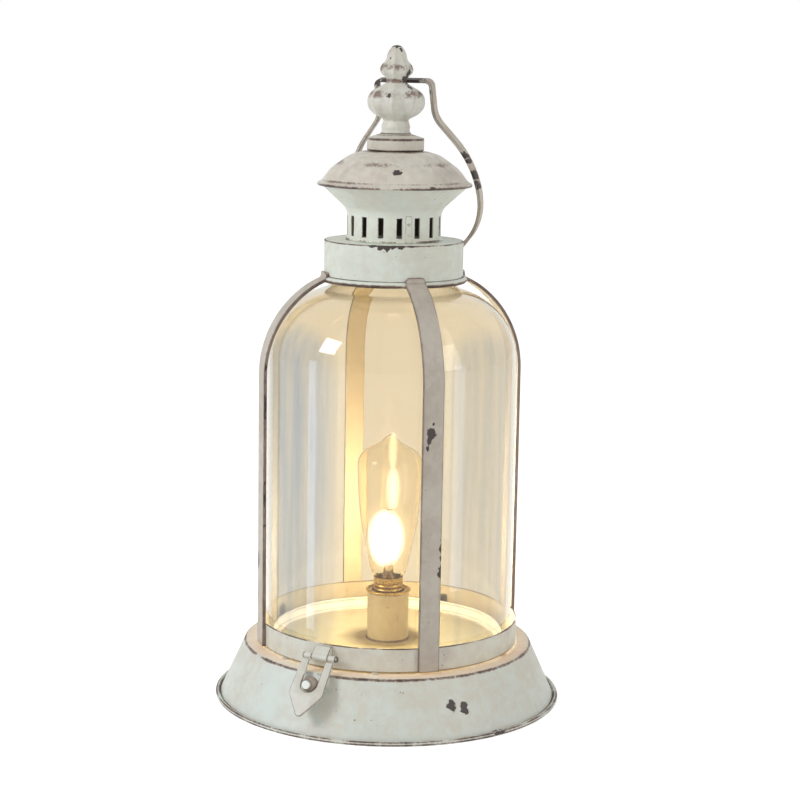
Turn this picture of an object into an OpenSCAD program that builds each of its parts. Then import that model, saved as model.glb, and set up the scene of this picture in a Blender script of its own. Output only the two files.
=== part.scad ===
// Lantern table lamp: a spun steel base with a lampholder, under a strapped glass cage
// that tips back on a rear hinge, is kept shut by a front hasp, and wears a vented
// chimney, a domed cap, a lobed finial and a swinging bail.
//
// Origin: centre of the ring that the base stands on. +Z is up, -Y is the front,
// where the hasp is, and +Y is the back, where the hinge is. Millimetres.
// Angles round the lamp are counted from the front towards +X.

/* [Base] */
// Outer radius of the rolled lip that the lamp stands on
lip_r = 152.5; // [148:0.5:156]
// Height of the flat top plate of the base
floor_z = 50; // [48:0.5:52]
// Slope of the skirt, as the heading of its side from the outside, in degrees
skirt_heading = 114.3; // [113:0.1:116]
// Thickness of the pressed and spun steel sheet
sheet = 1.2; // [1:0.1:1.4]
// Outer radius of the ring that keeps the cage central
ring_r = 102.5; // [100:0.5:103]

/* [Cage] */
// Outer radius of the band at the foot of the cage
band_r = 114; // [113.5:0.5:114.5]
// Height of the band's lower edge
band_z = 52; // [51.5:0.5:52.5]
// Height of the band's upper edge
band_top_z = 72.3; // [71:0.1:74]
// Width of each of the four straps
strap_w = 18; // [14:1:20]
// Thickness of each strap
strap_t = 3; // [2.5:0.5:3.5]
// Angle of the front straps from the front of the lamp
strap_angle = 45; // [40:1:50]

/* [Glass] */
// Outer radius of the glass
glass_r = 108.5; // [108:0.1:109]
// Wall of the glass
glass_t = 2.5; // [2:0.1:3]
// Height where the straight side turns into the dome
dome_z = 300; // [296:1:304]

/* [Top] */
// Outer radius of the collar
collar_r = 60.2; // [60:0.1:60.6]
// Height of the collar's flat top
collar_z = 404.5; // [403:0.5:406]
// Outer radius of the pierced chimney
chimney_r = 40.5; // [38:0.5:42]
// Number of slots round the chimney
slot_count = 16; // [12:1:18]
// Width of a slot
slot_w = 4.8; // [3:0.1:6]
// Outer radius of the seam where the cap meets the chimney's flare
cap_r = 66.7; // [66:0.1:68]
// Outer radius of the drum under the finial
drum_r = 24.5; // [22:0.5:26]
// Number of ribs on the finial's melon and bud
rib_count = 8; // [6:1:10]

/* [Bail] */
// Width of the flat bar that the bail is bent from
bail_w = 7.4; // [6:0.1:7.6]
// Thickness of that bar
bail_t = 2.8; // [2:0.1:3]
// Lean of the bail, forward from upright, where it rests behind the finial's waist
bail_lean = 14.8; // [14:0.1:14.8]

/* [Latch] */
// Distance from the hasp's pin to the tip of its tongue
hasp_len = 55.5; // [53:0.5:56]
// Half of the hasp's width at its pin
hasp_half_w = 14.85; // [14:0.05:16]
// Half of the width of the window that goes over the knob
window_half_w = 7.75; // [7.6:0.05:8]

/* [Bulb and lampholder] */
// Outer radius of the lampholder's tube
sleeve_r = 18.4; // [18:0.1:20]
// Height of the tube's upper edge
sleeve_z = 93; // [90:0.5:95]
// Outer radius of the bulb's screw cap
screw_r = 13; // [12.8:0.1:13.1]

/* [Hidden] */

// Colours
cream = "#D6D8CB";
taupe = "#B5AC9F";
steel = "#8C8A84";
brass = "#C6A45A";
rubber = "#2B2A28";
phenolic = "#3A2C24";
clear = [0.85, 0.92, 0.9, 0.35];
amber = [1, 0.9, 0.7, 0.4];

$fn = 96;
arc_step = 6;      // degrees between the points of a bent path
touch = 0.3;       // room between faces of different bodies that pass each other
running = 0.05;    // radial room of a pin in its moving knuckle
overlap = 0.5;     // how far a part of a solid is sunk into the rest of the same solid

// Lampholder and bulb
nipple_r = 5;
well_r = 14.3;
well_z = 66;
shell_t = 0.6;
screw_z = 84;
screw_top_z = 106;
neck_z = 97;           // foot of the bulb's glass
contact_r = 4.6;
run_count = 12;        // straight runs of the filament
run_foot = [9, 122];   // radius and height of a run's lower and upper end
run_top = [6, 166];

// Base
lip_bead = 2;
lip_flat = 0.15;       // the rolled lip is rubbed flat by this much where it stands
knob_tilt = 12;        // the knob's stud droops this little above level
knob_y = -138.5;
knob_z = 43.5;
knob_r = 7;
stud_r = 2.5;
entry_z = 16;          // height of the cable entry
entry_r = 3.3;         // bore of its grommet
bumper_r = 2.4;

// Rear hinge
hinge_y = 118.5;
hinge_z = 56;
hinge_r = 3;           // outside of a knuckle
hinge_pin_r = 1.4;
hinge_half = 16;       // half of the hinge's width
hinge_ends = 9;        // length of each outer knuckle, which belongs to the lower leaf

// Front hasp
pin_y = -121;
pin_z = 62.5;
pin_r = 1.5;
knuckle_r = 2.8;
hasp_t = 1.6;
hasp_angle = 40;       // the plate stands this far out from hanging straight down
window_s = 26;         // distance from the pin to the middle of the window's round end

// Straps
strap_bend_r = 91;                            // outside of the shoulder bend
strap_out_r = band_r + strap_t;
strap_bend_c = [strap_out_r - strap_bend_r, 290];

// Collar, chimney and cap
bead_r = 2.6;
bead_z = 371.2;
seam_z = 452.4;        // middle of the flange inside the cap's folded rim
cap_t = 1;
seam_angle = 45;
vent_r = 14;           // hole that lets the bulb's heat up into the chimney
slot_z = [408.9, 425.9];

// Finial
stud_rod_r = 3;
stud_top_z = 507;
finial_z = 495.2;
rib_phase = 20;
rib_depth = 0.11;
finial_rings = 44;
finial_steps = 8;      // points from one rib to the next
// Height, radius and share of the full rib depth, up the finial's outline
finial_outline = [
    [495.2, 13.4, 0], [498, 11.9, 0], [501, 12.3, 0], [504.5, 11.4, 0], [507, 10.9, 0],
    [509, 13.6, 0.3], [512, 19.3, 0.8], [517, 23.7, 1], [522, 24.9, 1], [527, 24, 1],
    [531.5, 20.4, 1], [535, 14.4, 0.8], [538, 9.5, 0.4], [540, 8.6, 0.3], [542.5, 9.4, 0.5],
    [546.5, 13.4, 1], [550, 14.3, 1], [553.5, 12.8, 1], [556.5, 10, 0.8], [559, 8.8, 0.6],
    [561.5, 8.4, 0.5], [564.5, 7.3, 0.4], [567.5, 5.4, 0.3], [569.4, 3, 0.1], [570, 0.6, 0]
];

// Bail
bail_x = 36.5;
bail_y = 54.2;
bail_z = 388;
bail_eye = 4;          // the eye reaches this far past the rivet
rivet_r = 1.8;
lug_t = 2;
// From the eye up one leg to the middle of the top bar
bail_moves = [
    [7.5, 0], [4, -42], [16.8, 0], [52.8, 42], [80, 40], [18.7, 0], [22, -40], [18.8, 0],
    [5, 90], [21, 0]
];

// ---------------------------------------------------------------- bent paths
// A move is [length, 0] for a straight run, or [radius, turn] for a bend,
// where a positive turn goes to the left. Each point of a path is [x, y, heading].
function move_end(m, at, h) = m[1] == 0
    ? at + m[0] * [cos(h), sin(h)]
    : at + sign(m[1]) * m[0] * [sin(h + m[1]) - sin(h), cos(h) - cos(h + m[1])];

function move_points(m, at, h) = m[1] == 0
    ? [[at[0], at[1], h]]
    : let (n = ceil(abs(m[1]) / arc_step))
      [for (k = [0:n - 1]) let (turn = m[1] * k / n, p = k == 0 ? at : move_end([m[0], turn], at, h))
          [p[0], p[1], h + turn]];

function walk(moves, at, h, i = 0) = i == len(moves)
    ? [[at[0], at[1], h]]
    : concat(move_points(moves[i], at, h),
             walk(moves, move_end(moves[i], at, h), h + moves[i][1], i + 1));

// The line that keeps a set distance to the left of a path
function beside(path, gap) = [for (p = path) [p[0] - gap * sin(p[2]), p[1] + gap * cos(p[2])]];

function end_of(path) = path[len(path) - 1];

function reversed(list) = [for (i = [len(list) - 1:-1:0]) list[i]];

// A strip of one thickness, centred on a path
module strip(path, t) {
    polygon(concat(beside(path, t / 2), reversed(beside(path, -t / 2))));
}

// Puts something made at the front of the lamp at an angle round it
module around(angle) {
    rotate([0, 0, angle]) children();
}

// A tube between two heights
module tube(r_out, r_in, z0, z1) {
    translate([0, 0, z0]) difference() {
        cylinder(r = r_out, h = z1 - z0);
        translate([0, 0, -1]) cylinder(r = r_in, h = z1 - z0 + 2);
    }
}

// A rod along X, centred on x = 0
module rod_x(r, length, y, z) {
    translate([-length / 2, y, z]) rotate([0, 90, 0]) cylinder(r = r, h = length);
}

// A part of a tube, centred on the front, given by its width there
module curved_leaf(r_out, r_in, z0, z1, width) {
    intersection() {
        tube(r_out, r_in, z0, z1);
        translate([-width / 2, -r_out - 1, z0 - 1]) cube([width, r_out, z1 - z0 + 2]);
    }
}

// ---------------------------------------------------------------- base
module on_knob_axis() {
    translate([0, knob_y, knob_z]) rotate([90 - knob_tilt, 0, 0]) children();
}

// Radius of the middle of the skirt's sheet at a height
function skirt_r(z) = lip_r - 5.2 + (z - 2) / tan(skirt_heading);

module on_entry_axis() {
    translate([0, skirt_r(entry_z), entry_z]) rotate([skirt_heading - 180, 0, 0]) children();
}

// One spun sheet: rolled lip, short flange, straight flared skirt and flat top
module base_skirt() {
    turn = 180 - skirt_heading;
    slope = (floor_z - sheet / 2 - 1.4 - 3 * (1 - cos(turn))) / sin(skirt_heading);
    path = walk([[2.4, 0], [1, -turn], [slope, 0], [2, turn], [119.5, 0]], [lip_r - 1.9, 1.4], 180);
    color(cream) difference() {
        union() {
            rotate_extrude() strip(path, sheet);
            rotate_extrude() translate([lip_r - lip_bead, lip_bead - lip_flat]) circle(lip_bead, $fn = 32);
        }
        translate([0, 0, -5]) cylinder(r = lip_r + 5, h = 5);
        translate([0, 0, floor_z - 5]) cylinder(r = nipple_r, h = 10);
        on_knob_axis() translate([0, 0, -20]) cylinder(r = stud_r, h = 20);
        on_entry_axis() translate([0, 0, -8]) cylinder(r = entry_r + 1.6, h = 16);
    }
}

module locating_ring() {
    bead = 1.1;
    color(taupe) rotate_extrude() {
        translate([ring_r - sheet, floor_z]) square([sheet, 8.6]);
        translate([ring_r - 7, floor_z]) square([7, sheet]);
        translate([ring_r - bead, floor_z + 8.6 + bead / 2]) circle(bead, $fn = 24);
    }
}

module band_bumpers() {
    color(clear) for (angle = [22.5, 157.5, -157.5, -22.5]) around(angle)
        translate([0, -band_r + sheet / 2, floor_z]) cylinder(r = bumper_r, h = band_z - floor_z);
}

module lampholder_tube() {
    color(cream) rotate_extrude() {
        translate([sleeve_r - 1, floor_z]) square([1, sleeve_z - floor_z]);
        translate([sleeve_r - 1, floor_z]) square([2, 1]);
    }
}

module lampholder_ring() {
    color(steel) difference() {
        rotate_extrude() {
            translate([well_r + 0.1, sleeve_z]) square([sleeve_r + 0.6 - well_r, 1]);
            translate([sleeve_r + 0.2, sleeve_z + 1]) circle(1.3, $fn = 24);
        }
        tube(sleeve_r, sleeve_r - 1, sleeve_z - 3, sleeve_z);
    }
}

module lampholder_body() {
    color(phenolic) difference() {
        translate([0, 0, floor_z]) cylinder(r = sleeve_r - 1.2, h = sleeve_z - floor_z);
        translate([0, 0, well_z]) cylinder(r = well_r, h = sleeve_z);
        translate([0, 0, floor_z - 1]) cylinder(r = nipple_r, h = 11);
    }
}

module screw_shell() {
    color(brass) rotate_extrude() {
        translate([screw_r + 0.4, well_z]) square([shell_t, sleeve_z - well_z - 0.5]);
        translate([screw_r - 2, well_z]) square([3, shell_t]);
    }
}

// A springy tongue that rises from the floor of the well to the bulb's centre contact
module centre_contact() {
    tongue = walk([[8, 0], [1.5, 128], [9.6, 0], [1.5, -128], [3, 0]], [-4, well_z + 0.3], 0);
    color(brass) translate([0, 3, 0]) rotate([90, 0, 0]) linear_extrude(6) strip(tongue, 0.6);
}

module holder_nipple() {
    color(steel) tube(nipple_r, nipple_r - 1.2, floor_z - 12, floor_z + 10);
}

module nipple_washer() {
    color(steel) tube(9, nipple_r, floor_z - sheet - 1.2, floor_z - sheet);
}

module nipple_nut() {
    across_corners = 9.4;
    color(steel) difference() {
        translate([0, 0, floor_z - sheet - 6.2]) cylinder(r = across_corners, h = 5, $fn = 6);
        translate([0, 0, floor_z - sheet - 7.2]) cylinder(r = nipple_r, h = 7);
    }
}

// The stud goes through the skirt: waist, round head, and the bare end of the rod
module latch_knob() {
    color(steel) on_knob_axis() rotate_extrude() {
        intersection() {
            union() {
                translate([0, -17]) square([stud_r, 18]);
                translate([0, -7.3]) square([stud_r + 1.6, 2.5]);
                circle(knob_r);
                translate([0, 4]) square([3.7, 3.6]);
            }
            translate([0, -20]) square([20, 40]);
        }
    }
}

module knob_nut() {
    color(steel) difference() {
        on_knob_axis() translate([0, 0, -15.8]) cylinder(r = 4.6, h = 4, $fn = 6);
        on_knob_axis() translate([0, 0, -18]) cylinder(r = stud_r, h = 12);
    }
}

module cable_grommet() {
    color(rubber) on_entry_axis() rotate_extrude() difference() {
        translate([entry_r, -4]) square([4, 8]);
        translate([entry_r + 1.6, -1]) square([4, 2]);
    }
}

// ---------------------------------------------------------------- rear hinge
module hinge_knuckles(lower) {
    mid = hinge_half - hinge_ends;
    for (side = [-1, 1]) if (lower) intersection() {
        rod_x(hinge_r, 2 * hinge_half, hinge_y, hinge_z);
        translate([side > 0 ? mid : -hinge_half, hinge_y - 5, hinge_z - 5]) cube([hinge_ends, 10, 10]);
    }
    if (!lower) rod_x(hinge_r, 2 * (mid - touch), hinge_y, hinge_z);
}

module hinge_lower_leaf() {
    back_y = hinge_y + hinge_r;
    color(taupe) difference() {
        union() {
            hinge_knuckles(true);
            translate([-hinge_half, back_y - sheet, floor_z]) difference() {
                cube([2 * hinge_half, sheet, hinge_z - floor_z]);
                translate([hinge_ends - touch, -1, 2])
                    cube([2 * (hinge_half - hinge_ends + touch), sheet + 2, 9]);
            }
            translate([-hinge_half, back_y - sheet, floor_z]) cube([2 * hinge_half, 4, sheet]);
        }
        rod_x(hinge_pin_r, 2 * hinge_half + 2, hinge_y, hinge_z);
    }
}

module hinge_upper_leaf() {
    leaf_r = band_r + sheet;
    color(taupe) difference() {
        union() {
            around(180) curved_leaf(leaf_r, band_r, hinge_z - 1, band_top_z - 3, 2 * hinge_half);
            hinge_knuckles(false);
            translate([-(hinge_half - hinge_ends - touch), leaf_r - overlap, hinge_z + hinge_r - sheet])
                cube([2 * (hinge_half - hinge_ends - touch), hinge_y - leaf_r + overlap, sheet]);
        }
        rod_x(hinge_pin_r + running, 2 * hinge_half + 2, hinge_y, hinge_z);
    }
}

module hinge_pin() {
    head = 0.8;
    color(steel) union() {
        rod_x(hinge_pin_r, 2 * hinge_half + 2 * head, hinge_y, hinge_z);
        for (side = [-1, 1]) translate([side * (hinge_half + head / 2), 0, 0])
            rod_x(hinge_pin_r + 0.7, head, hinge_y, hinge_z);
    }
}

// A round head of a rivet, standing on z = 0
module rivet_head(r, h) {
    intersection() {
        cylinder(r = r, h = h);
        translate([0, 0, h - r * 1.25]) sphere(r = r * 1.25);
    }
}

module hinge_lower_rivets() {
    color(taupe) for (x = [-10, 10])
        translate([x, hinge_y + hinge_r + 1.5, floor_z + sheet]) rivet_head(1.3, 0.8);
}

module hinge_upper_rivets() {
    for (angle = [180 - 5, 180 + 5]) color(taupe) around(angle)
        translate([0, -band_r - sheet - 0.02, 66]) rotate([90, 0, 0]) rivet_head(1.8, 1.1);
}

// ---------------------------------------------------------------- cage
module cage_band() {
    color(cream) tube(band_r, band_r - sheet, band_z, band_top_z);
}

// Side view of a strap, from its foot up and over the shoulder to its end on the collar
module strap_side() {
    translate([band_r - 0.4, band_z]) square([strap_t + 0.4, strap_bend_c[1] - band_z]);
    intersection() {
        translate(strap_bend_c) difference() {
            circle(strap_bend_r, $fn = 180);
            circle(strap_bend_r - strap_t, $fn = 180);
        }
        translate([collar_r + 0.4, strap_bend_c[1]]) square([100, 100]);
    }
}

module strap(angle) {
    // the end is hammered flat up the collar's wall, over the bead
    tab_z = bead_z + bead_r;
    color(taupe) around(angle) difference() {
        union() {
            translate([strap_w / 2, 0, 0]) rotate([90, 0, -90]) linear_extrude(strap_w) strap_side();
            curved_leaf(collar_r + 1.5, collar_r, tab_z - 2, tab_z + 4, strap_w);
        }
        translate([0, 0, band_z - 1]) cylinder(r = band_r, h = band_top_z - band_z + 1);
        translate([0, 0, 365]) cylinder(r = collar_r, h = 30);
        rotate_extrude() translate([collar_r + 1, bead_z]) circle(bead_r, $fn = 32);
    }
}

module strap_front_left() { strap(-strap_angle); }
module strap_front_right() { strap(strap_angle); }
module strap_back_left() { strap(strap_angle - 180); }
module strap_back_right() { strap(180 - strap_angle); }

bell_path = walk([[dome_z - band_z - 1, 0], [64, 75.93], [8, -75.93], [11, 0]], [glass_r, band_z + 1], 90);
neck_r = end_of(bell_path)[0];

module glass_cloche() {
    color(clear) rotate_extrude() polygon(concat(beside(bell_path, 0), reversed(beside(bell_path, glass_t))));
}

module glass_clips() {
    color(steel) for (angle = [0:90:270]) around(angle) {
        curved_leaf(band_r - sheet, band_r - sheet - 0.8, band_z + 0.2, band_z + 12, 10);
        curved_leaf(band_r - sheet, glass_r - 4, band_z + 0.2, band_z + 1, 10);
    }
}

module neck_seal() {
    color(rubber) tube(collar_r - sheet, neck_r + 0.1, bead_z + 2, bead_z + 8);
}

module collar() {
    color(cream) rotate_extrude() {
        translate([collar_r - sheet, bead_z]) square([sheet, collar_z - bead_z]);
        translate([vent_r, collar_z - sheet]) square([collar_r - vent_r, sheet]);
        translate([collar_r + 1, bead_z]) circle(bead_r, $fn = 32);
    }
}

// The tube flares out above its slots to the flange that the cap is folded over
module chimney() {
    flare = [[14, -47], [25.7, 0], [1, -43], [1.1, 0]];
    straight = seam_z - collar_z - end_of(walk(flare, [0, 0], 90))[1];
    path = walk(concat([[straight, 0]], flare), [chimney_r - cap_t / 2, collar_z], 90);
    color(cream) difference() {
        union() {
            rotate_extrude() {
                strip(path, cap_t);
                translate([chimney_r, collar_z + 1]) circle(1, $fn = 24);
            }
            // the lapped seam
            around(seam_angle) curved_leaf(chimney_r + 0.6, chimney_r - 0.5, collar_z, slot_z[1] + 2, 5.4);
        }
        for (i = [0:slot_count - 1]) around((i + 0.5) * 360 / slot_count)
            translate([-slot_w / 2, -chimney_r - 3, slot_z[0]]) cube([slot_w, 8, slot_z[1] - slot_z[0]]);
    }
}

// Folded under the chimney's flange, out of a hollow rim, up a low dome with a pressed
// line round it, and level to the stud
cap_moves = [
    [0.9, 0], [cap_t, 180], [1, -38], [2.2, 0], [6, -15], [7, 0], [28, 17], [6.5, 0],
    [3, -6], [3, 8], [5.5, 0], [24, 18], [4, 0], [20, 16], [24, 0]
];
cap_path = walk(cap_moves, [cap_r - 2.4, seam_z - cap_t], 0);
drum_z = end_of(cap_path)[1] + cap_t / 2;

module cap() {
    color(cream) difference() {
        rotate_extrude() strip(cap_path, cap_t);
        translate([0, 0, drum_z - 5]) cylinder(r = stud_rod_r, h = 10);
    }
}

module cap_washer() {
    color(steel) tube(9, stud_rod_r, drum_z - cap_t - 1.2, drum_z - cap_t);
}

module cap_nut() {
    nut_h = 4.5;
    nut_z = drum_z - cap_t - 1.2 - nut_h;
    color(steel) difference() {
        translate([0, 0, nut_z]) cylinder(r = 6.4, h = nut_h, $fn = 6);
        translate([0, 0, nut_z - 1]) cylinder(r = stud_rod_r, h = nut_h + 2);
    }
}

module finial_stud() {
    foot_z = drum_z - 9.5;
    color(steel) translate([0, 0, foot_z]) cylinder(r = stud_rod_r, h = stud_top_z - foot_z);
}

// The drum's underside is undercut, so that a dark line shows below its edge
module finial_drum() {
    color(cream) rotate_extrude() polygon([
        [stud_rod_r, drum_z], [19, drum_z], [20.5, drum_z + 0.8], [drum_r, drum_z + 0.8],
        [drum_r, finial_z - 4], [drum_r - 0.8, finial_z - 3.2], [13.6, finial_z], [stud_rod_r, finial_z]
    ]);
}

// A smooth curve through stations, where t counts them, for any number of values in each
function station(list, i) = list[max(0, min(len(list) - 1, i))];
function through(list, t) =
    let (i = min(floor(t), len(list) - 2), f = t - i,
         a = station(list, i - 1), b = list[i], c = list[i + 1], d = station(list, i + 2))
    0.5 * (2 * b + (c - a) * f + (2 * a - 5 * b + 4 * c - d) * f * f + (3 * b - a - 3 * c + d) * f * f * f);

// Ribs stand out as crests, with hollow panels between them
function rib_scale(angle, share) = 1 - rib_depth * share * abs(sin(rib_count * (angle - rib_phase) / 2));

module lobed_casting(outline, rings) {
    around_count = rib_count * finial_steps;
    points = [for (j = [0:rings]) let (s = through(outline, j * (len(outline) - 1) / rings))
        for (i = [0:around_count - 1])
            let (angle = rib_phase + i * 360 / around_count, r = s[1] * rib_scale(angle, s[2]))
            [r * sin(angle), -r * cos(angle), s[0]]];
    function at(i, j) = j * around_count + i % around_count;
    sides = [for (j = [0:rings - 1], i = [0:around_count - 1]) each
        [[at(i, j), at(i, j + 1), at(i + 1, j)], [at(i + 1, j), at(i, j + 1), at(i + 1, j + 1)]]];
    foot = [for (i = [0:around_count - 1]) at(i, 0)];
    crown = [for (i = [around_count - 1:-1:0]) at(i, rings)];
    polyhedron(points, concat(sides, [foot, crown]));
}

module finial() {
    color(cream) difference() {
        lobed_casting(finial_outline, finial_rings);
        translate([0, 0, finial_z - 1]) cylinder(r = stud_rod_r, h = stud_top_z - finial_z + 1, $fn = 24);
    }
}

// ---------------------------------------------------------------- front hasp
module hasp_bracket() {
    half = window_half_w - touch;
    leaf_r = band_r + sheet;
    color(cream) difference() {
        union() {
            curved_leaf(leaf_r, band_r, pin_z - 4, band_top_z - 1.3, 2 * half);
            rod_x(knuckle_r, 2 * half, pin_y, pin_z);
            translate([half, 0, 0]) rotate([90, 0, -90]) linear_extrude(2 * half) polygon([
                [leaf_r - overlap, band_top_z - 1.3], [leaf_r + 1, band_top_z - 1.3],
                [-pin_y + 1.5, pin_z + 2.2], [-pin_y, pin_z], [leaf_r - overlap, pin_z + 1]
            ]);
        }
        rod_x(pin_r, 40, pin_y, pin_z);
        translate([0, 0, band_z]) cylinder(r = band_r, h = 30);
    }
}

module hasp_pin() {
    head = 0.9;
    color(steel) union() {
        rod_x(pin_r, 2 * (hasp_half_w + touch + head), pin_y, pin_z);
        for (side = [-1, 1]) translate([side * (hasp_half_w + touch + head / 2), 0, 0])
            rod_x(pin_r + 0.8, head, pin_y, pin_z);
    }
}

// Front view of the plate, with the pin at y = 0 and the tongue hanging down
module hasp_outline() {
    edge = walk([[4, 55], [20, 0], [6, 37], [29.3, 0]], [0, -hasp_len], 0);
    half = beside(edge, 0);
    difference() {
        polygon(concat(half, [for (p = reversed(half)) [-p[0], p[1]]]));
        translate([0, -window_s]) circle(window_half_w);
        translate([-window_half_w, -window_s]) square([2 * window_half_w, window_s + 10]);
    }
}

module hasp_plate() {
    color(taupe) translate([0, pin_y, pin_z]) rotate([-hasp_angle, 0, 0]) difference() {
        union() {
            // the plate lies along the outside of its rolled knuckles
            translate([0, -knuckle_r + hasp_t, 0]) rotate([90, 0, 0]) linear_extrude(hasp_t) hasp_outline();
            for (side = [-1, 1]) translate([side * (window_half_w + hasp_half_w) / 2, 0, 0])
                rod_x(knuckle_r, hasp_half_w - window_half_w, 0, 0);
        }
        rod_x(pin_r + running, 40, 0, 0);
    }
}

// ---------------------------------------------------------------- bail
module at_bail_pivot() {
    translate([0, bail_y, bail_z]) children();
}

module bail() {
    leg = walk(bail_moves, [bail_x, -bail_eye], 90);
    path = concat(leg, [for (p = reversed(leg)) [-p[0], p[1], -p[2]]]);
    color(taupe) at_bail_pivot() rotate([bail_lean, 0, 0]) difference() {
        translate([0, bail_w / 2, 0]) rotate([90, 0, 0]) linear_extrude(bail_w) strip(path, bail_t);
        rod_x(rivet_r + running, 100, 0, 0);
        // the eyes are rounded off below the rivet
        difference() {
            translate([-60, -20, -20]) cube([120, 40, 20]);
            rod_x(bail_eye, 130, 0, 0);
        }
    }
}

module bail_lugs() {
    near = bail_x - bail_t / 2 - touch;
    color(cream) for (side = [-1, 1]) difference() {
        union() {
            translate([side > 0 ? near - lug_t : -near, 40, bail_z - 5]) cube([lug_t, bail_y - 40, 10]);
            intersection() {
                translate([side * (near - lug_t / 2), 0, 0]) rod_x(5, lug_t, bail_y, bail_z);
                translate([-60, 40, bail_z - 6]) cube([120, 40, 12]);
            }
        }
        translate([0, 0, bail_z - 20]) cylinder(r = collar_r, h = 40);
        rod_x(rivet_r, 100, bail_y, bail_z);
    }
}

module bail_rivets() {
    inner = bail_x - bail_t / 2 - touch - lug_t;
    outer = bail_x + bail_t / 2 + touch;
    color(steel) for (side = [-1, 1]) {
        translate([side * (inner + outer) / 2, 0, 0]) rod_x(rivet_r, outer - inner + 0.4, bail_y, bail_z);
        translate([side * (outer + 0.2), bail_y, bail_z]) rotate([0, side * 90, 0]) rivet_head(3.4, 1.6);
        translate([side * inner, bail_y, bail_z]) rotate([0, -side * 90, 0]) rivet_head(2.8, 1);
    }
}

// ---------------------------------------------------------------- bulb
// From the neck up the long side and over the shoulder to the tip
bulb_moves = [
    [8.5, 0], [3, -45], [2, 0], [5, 29], [345, 16], [16, 62], [8, 0], [30, -14], [6.4, 0], [5, 42]
];
bulb_path = walk(bulb_moves, [12, neck_z], 90);

module bulb_glass() {
    color(amber) rotate_extrude() intersection() {
        polygon(concat(beside(bulb_path, 0), reversed(beside(bulb_path, 0.8))));
        square([60, 260]);
    }
}

module bulb_screw() {
    // rolled thread, drawn as rings
    pitch = 3.6;
    crests = [for (z = [screw_z:pitch / 6:screw_top_z - 4])
        [screw_r - 0.3 + 0.3 * cos(360 * (z - screw_z) / pitch), z]];
    inner_r = screw_r - 0.7;
    color(brass) rotate_extrude() polygon(concat(
        [[8, screw_z]], crests,
        [[screw_r, screw_top_z - 3], [screw_r, screw_top_z], [inner_r, screw_top_z], [inner_r, screw_z + 5],
        [8, screw_z + 1]]));
}

module bulb_insulator() {
    color(phenolic) rotate_extrude() polygon([
        [contact_r, screw_z - 3.8], [6, screw_z - 3.8], [11.5, screw_z], [8, screw_z],
        [8, screw_z + 1], [contact_r, screw_z + 1]
    ]);
}

module bulb_contact() {
    color(steel) translate([0, 0, screw_z - 4.8]) cylinder(r = contact_r, h = 2);
}

module bulb_stem() {
    color(clear) rotate_extrude() polygon([
        [0, screw_z + 2], [screw_r - 1, screw_z + 8], [screw_r - 1, neck_z], [screw_r - 1.9, neck_z],
        [5, neck_z + 11], [3.2, neck_z + 21], [2.2, 150], [2.2, run_top[1]], [0, run_top[1]]
    ]);
}

// The filament's straight runs lean in and out of a ring, and stop just short of its hooks
module bulb_filament() {
    rise = run_top - run_foot;
    color(amber) for (i = [0:run_count - 1]) rotate([0, 0, i * 360 / run_count])
        translate([run_foot[0], 0, run_foot[1]]) rotate([0, atan2(rise[0], rise[1]), 0])
            rotate([i % 2 == 0 ? 3 : -3, 0, 0]) cylinder(r = 0.35, h = norm(rise), $fn = 16);
}

// Two wheels of hooks round the stem, one under the filament and one over it
module bulb_supports() {
    wire_r = 0.25;
    color(steel) for (end = [run_foot - [0, 1.2], run_top + [0, 1.2]])
        for (i = [0:run_count / 2 - 1]) rotate([0, 0, (2 * i + 1) * 360 / run_count])
            translate([3.3, 0, end[1]]) rotate([0, 90, 0]) cylinder(r = wire_r, h = end[0] - 3.3, $fn = 16);
}

base_skirt();
locating_ring();
band_bumpers();
lampholder_tube();
lampholder_ring();
lampholder_body();
screw_shell();
centre_contact();
holder_nipple();
nipple_washer();
nipple_nut();
latch_knob();
knob_nut();
hinge_lower_leaf();
hinge_pin();
hinge_lower_rivets();
cable_grommet();
cage_band();
strap_front_left();
strap_front_right();
strap_back_left();
strap_back_right();
glass_cloche();
glass_clips();
neck_seal();
collar();
chimney();
cap();
cap_washer();
cap_nut();
finial_stud();
finial_drum();
finial();
hasp_bracket();
hasp_pin();
hinge_upper_leaf();
hinge_upper_rivets();
bail_lugs();
bail_rivets();
hasp_plate();
bail();
bulb_glass();
bulb_screw();
bulb_insulator();
bulb_contact();
bulb_stem();
bulb_filament();
bulb_supports();
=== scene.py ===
# %% [markdown]
# # A distressed lantern lamp, dressed for the studio
# The sizes, the joints and the collision of this lamp come from a CAD model, which is loaded first and never
# moved. Everything after that is looks: finer spun sheet metal, blown glass, worn enamel and light.

# %% Load the frame
import bpy
import bmesh
import math
from mathutils import Matrix, Vector


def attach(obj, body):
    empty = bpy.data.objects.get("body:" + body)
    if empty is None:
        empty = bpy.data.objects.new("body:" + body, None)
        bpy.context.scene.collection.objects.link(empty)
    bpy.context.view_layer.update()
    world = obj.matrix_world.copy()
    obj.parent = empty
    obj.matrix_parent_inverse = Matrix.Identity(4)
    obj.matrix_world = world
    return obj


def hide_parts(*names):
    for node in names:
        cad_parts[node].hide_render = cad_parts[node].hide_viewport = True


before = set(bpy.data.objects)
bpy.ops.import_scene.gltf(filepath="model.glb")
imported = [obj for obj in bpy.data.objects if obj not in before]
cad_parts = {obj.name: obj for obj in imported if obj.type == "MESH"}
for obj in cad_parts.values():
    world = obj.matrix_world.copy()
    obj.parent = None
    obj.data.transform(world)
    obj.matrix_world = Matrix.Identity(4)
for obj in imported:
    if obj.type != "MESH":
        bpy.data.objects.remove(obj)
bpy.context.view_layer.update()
MM = 0.001

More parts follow.
